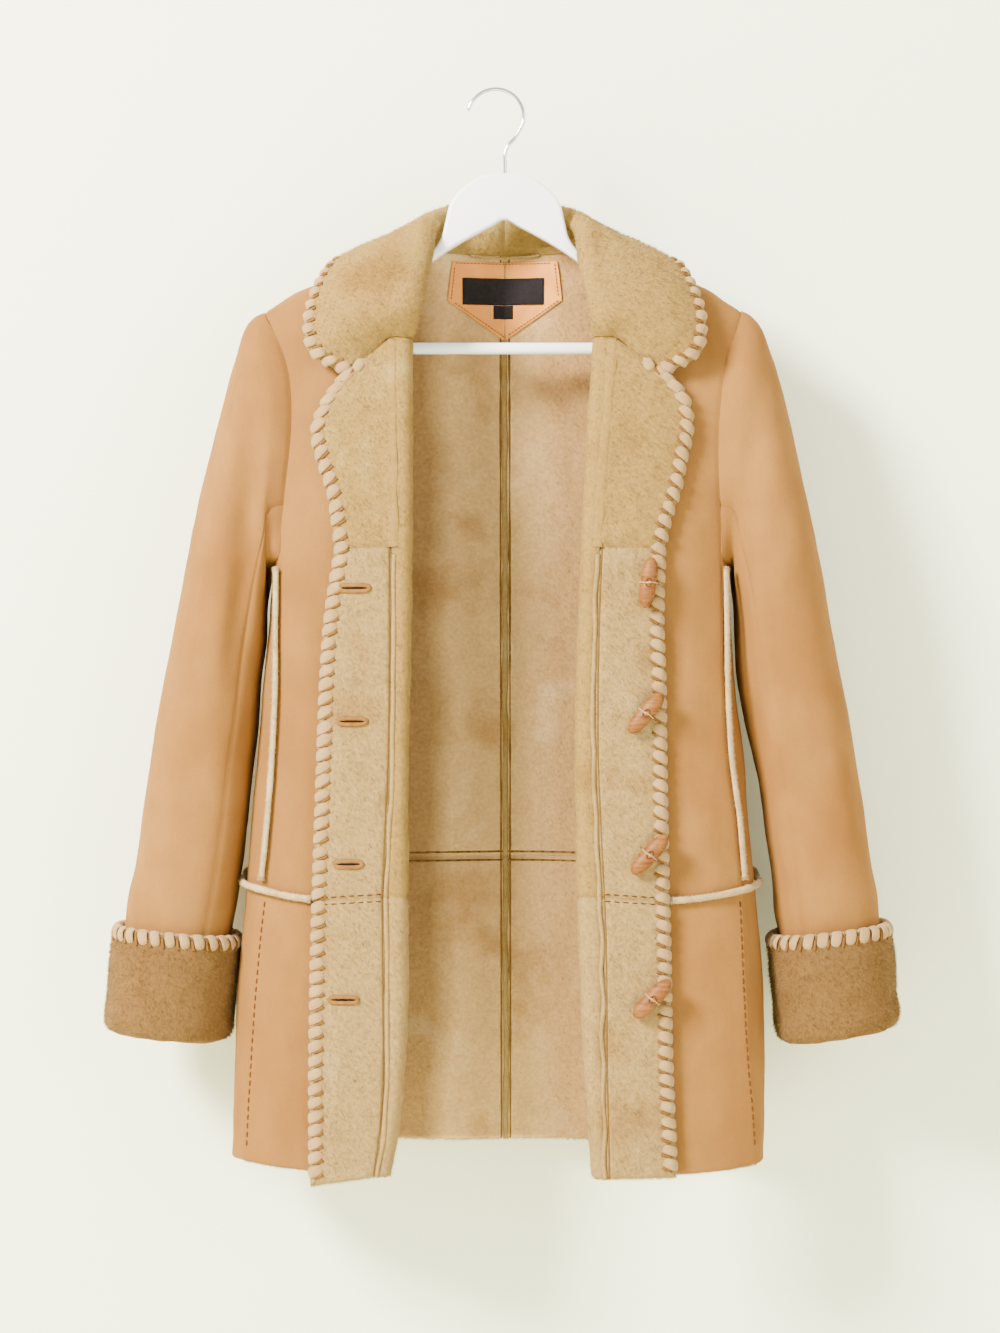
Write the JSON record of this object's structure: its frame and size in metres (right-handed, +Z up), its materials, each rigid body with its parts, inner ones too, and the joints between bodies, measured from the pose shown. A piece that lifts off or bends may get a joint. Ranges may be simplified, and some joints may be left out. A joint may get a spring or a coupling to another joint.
{
  "type": "faux shearling coat on a hanger",
  "caption": "Open-fronted faux shearling coat, suede outside and pile inside, hanging on a wooden hanger by its hook.",
  "frame": {"origin": "inside top of the hook's curve, where it rests on a rail", "axes": "+X towards the viewer's right, which is the coat's left side; +Y towards the coat's back; +Z up"},
  "size_m": [0.6791, 0.1651, 0.9324],
  "materials": {
    "suede": "matte napped faux suede, tan",
    "pile": "deep curly faux fur, honey beige",
    "toggle": "satin brown",
    "label": "woven, black, bare",
    "cord": "twisted, beige",
    "paint": "white satin paint over wood",
    "steel": "polished"
  },
  "bodies": {
    "root": {"back_lower_right": "suede", "back_lower_left": "suede", "back_upper_right": "suede", "back_upper_left": "suede", "band_lower_right": "suede", "band_lower_left": "suede", "band_upper_right": "suede", "band_upper_left": "suede", "collar_right": "suede", "collar_left": "suede", "cuff_right": "suede", "cuff_left": "suede", "front_lower_right": "suede", "front_lower_left": "suede", "front_upper_right": "suede", "front_upper_left": "suede", "lapel_right": "suede", "lapel_left": "suede", "side_lower_right": "suede", "side_lower_left": "suede", "side_upper_right": "suede", "side_upper_left": "suede", "sleeve_under_right": "suede", "sleeve_under_left": "suede", "sleeve_upper_right": "suede", "sleeve_upper_left": "suede", "princess_trim_right": "pile", "princess_trim_left": "pile", "waist_trim_right": "pile", "waist_trim_left": "pile", "buttonhole_1": "suede", "toggle_1": "toggle", "buttonhole_2": "suede", "toggle_2": "toggle", "buttonhole_3": "suede", "toggle_3": "toggle", "buttonhole_4": "suede", "toggle_4": "toggle", "neck_patch": "suede", "neck_label": "label", "size_tab": "label", "hanging_loop": "cord", "hanger_arms": "paint", "trouser_bar": "paint", "hook": "steel"}
  },
  "joints": []
}
